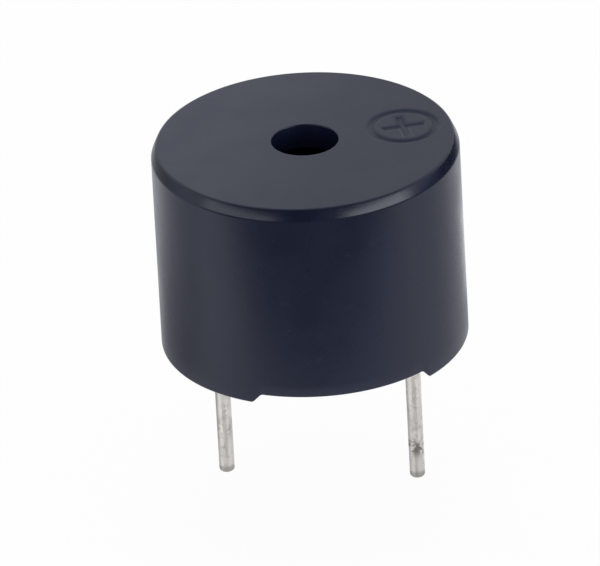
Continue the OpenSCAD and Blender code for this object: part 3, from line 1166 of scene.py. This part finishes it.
@dataclass
class Studio:
    """A white tent that is open towards the camera, with softboxes, screens and a pale floor."""

    view_azimuth: float
    floor_z: float
    floor_half: float = 900.0
    floor_colour: Colour = (0.9, 0.9, 0.9)
    floor_gloss: Colour = (0.93, 0.94, 1.0)
    shadow_share: float = 0.06
    tent_light: float = 0.75
    tent_shine: float = 0.82
    front_shine: float = 0.03
    floor_front: float = 0.16
    floor_back: float = 0.72
    floor_far: float = 1.25
    # Painted shade (share under 1) and painted light (share over 1) on the floor, which only reflections show; the
    # first stands for the can's soft shadow.
    patches: tuple[FloorPatch, ...] = (
        FloorPatch((-14.3, 10.8), 3.0, 11.0, 0.55),
        FloorPatch((-21.6, 4.05), 2.0, 8.5, 0.82),
        FloorPatch((-30.3, -9.6), 5.0, 17.0, 1.26),
        FloorPatch((15.1, 18.3), 2.0, 7.5, 1.8),
    )

    def towards_camera(self) -> tuple[float, float, float]:
        """Gives the level direction from the part to the camera."""
        a = math.radians(self.view_azimuth)
        return (math.sin(a), -math.cos(a), 0.0)

    def floor(self) -> None:
        """Lays the floor, which shows white and can be seen through from below.

        Its reflection is darker far in front and close behind, and it has the patches of painted shade and painted
        light.
        """
        mesh = bmesh.new()
        bmesh.ops.create_grid(mesh, x_segments=1, y_segments=1, size=self.floor_half)
        bmesh.ops.translate(mesh, verts=mesh.verts[:], vec=(0.0, 0.0, self.floor_z))
        bmesh.ops.scale(mesh, verts=mesh.verts[:], vec=(METRES,) * 3)
        laid = as_object(mesh, "floor")
        material = bpy.data.materials.new("floor_white")
        material.use_nodes = True
        graph = Graph(material.node_tree)
        where = graph.place_mm()
        feeds = {0: where, 1: self.towards_camera()}
        along = graph.node("ShaderNodeVectorMath", feeds, operation="DOT_PRODUCT").outputs["Value"]
        front = graph.ramp(along, 14.0, 28.0, 1.0, self.floor_front)
        back = graph.ramp(along, -4.0, 9.0, self.floor_back, 1.0)
        far = graph.ramp(along, -10.0, -24.0, 1.0, self.floor_far)
        shaded = graph.math("MULTIPLY", front, graph.math("MULTIPLY", back, far))
        for patch in self.patches:
            feeds = {0: where, 1: (*patch.middle, self.floor_z)}
            radius = graph.node("ShaderNodeVectorMath", feeds, operation="DISTANCE").outputs["Value"]
            spot = graph.ramp(radius, patch.inner, patch.outer, patch.share, 1.0)
            shaded = graph.math("MULTIPLY", shaded, spot)
        path = graph.node("ShaderNodeLightPath").outputs
        mirrored = graph.math("MULTIPLY", path["Is Glossy Ray"], shaded)
        plain = graph.node("ShaderNodeBsdfDiffuse", {"Color": (*self.floor_colour, 1.0)}).outputs[0]
        strength = graph.math("MAXIMUM", path["Is Camera Ray"], mirrored)
        tint = graph.mix(path["Is Glossy Ray"], (1.0, 1.0, 1.0), self.floor_gloss)
        white = graph.node("ShaderNodeEmission", {"Color": tint, "Strength": strength}).outputs[0]
        seen = graph.math("MAXIMUM", path["Is Camera Ray"], path["Is Glossy Ray"])
        share = graph.math("MULTIPLY", seen, 1 - self.shadow_share)
        lit = graph.node("ShaderNodeMixShader", {0: share, 1: plain, 2: white}).outputs[0]
        below = graph.node("ShaderNodeNewGeometry").outputs["Backfacing"]
        clear = graph.node("ShaderNodeBsdfTransparent").outputs[0]
        surface = graph.node("ShaderNodeMixShader", {0: below, 1: lit, 2: clear}).outputs[0]
        graph.node("ShaderNodeOutputMaterial", {"Surface": surface})
        laid.data.materials.append(material)

    def tent(self) -> None:
        """Wraps the part in even white light, darker towards the camera for reflections."""
        world = bpy.data.worlds.new("tent")
        world.use_nodes = True
        bpy.context.scene.world = world
        graph = Graph(world.node_tree)
        ray = graph.node("ShaderNodeTexCoord").outputs["Generated"]
        feeds = {0: ray, 1: self.towards_camera()}
        facing = graph.node("ShaderNodeVectorMath", feeds, operation="DOT_PRODUCT").outputs["Value"]
        glossy = graph.ramp(facing, 0.0, 0.62, self.tent_shine, self.front_shine)
        path = graph.node("ShaderNodeLightPath").outputs
        seen = graph.math("MAXIMUM", path["Is Camera Ray"], path["Is Transmission Ray"])
        reflected = graph.math("MULTIPLY", path["Is Glossy Ray"], glossy)
        plain = graph.math("SUBTRACT", 1.0, graph.math("MAXIMUM", seen, path["Is Glossy Ray"]))
        soft = graph.math("MULTIPLY", plain, self.tent_light)
        strength = graph.math("ADD", graph.math("ADD", seen, reflected), soft)
        shine = graph.node("ShaderNodeBackground", {"Strength": strength}).outputs[0]
        graph.node("ShaderNodeOutputWorld", {"Surface": shine})
        shine.node.inputs["Color"].default_value = (1.0, 1.0, 1.0, 1.0)

    def build(self, centre: Vector) -> None:
        """Sets up the studio.

        Args:
            centre: The point that the lamps face, in millimetres.
        """
        self.floor()
        self.tent()
        boxes = (
            Softbox("right_softbox", self.view_azimuth + 51, 14, 150, 134, 44, 4.6),
            Softbox("left_softbox", self.view_azimuth - 51, 14, 150, 150, 40, 2.15),
            Softbox("top_softbox", self.view_azimuth + 180, 62, 180, 120, 80, 1.0),
        )
        for lamp in boxes:
            lamp.build(centre)
        front, low_z = self.view_azimuth, self.floor_z
        screens = (
            Screen("right_screen", front + 78, front + 150, 62, low_z, 17, 0.03),
            Screen("left_screen", front + 210, front + 258, 62, low_z, 16, 0.36),
        )
        for screen in screens:
            screen.build()
        bpy.context.scene.view_settings.view_transform = "Standard"


def main() -> None:
    """Builds the part's pieces, the studio and the camera in order."""
    logging.basicConfig(level=logging.INFO, format="%(name)s: %(message)s")
    sizes = CanSizes.from_frame()
    effects = Effects()
    view = View()
    view.build()
    Housing(sizes).build(effects)
    Pin(sizes, "pin_positive", stain_rise=1.4, stain=0.8).build(effects)
    Pin(sizes, "pin_negative", stain_rise=2.05, stain=0.3).build(effects)
    Compound(sizes).build(effects)
    InnerParts().dress(effects)
    lowest = box_mm("pin_positive")[0].z
    Studio(view.azimuth, lowest).build(Vector((0.0, 0.0, sizes.body_h / 2)))


if __name__ == "__main__":
    main()
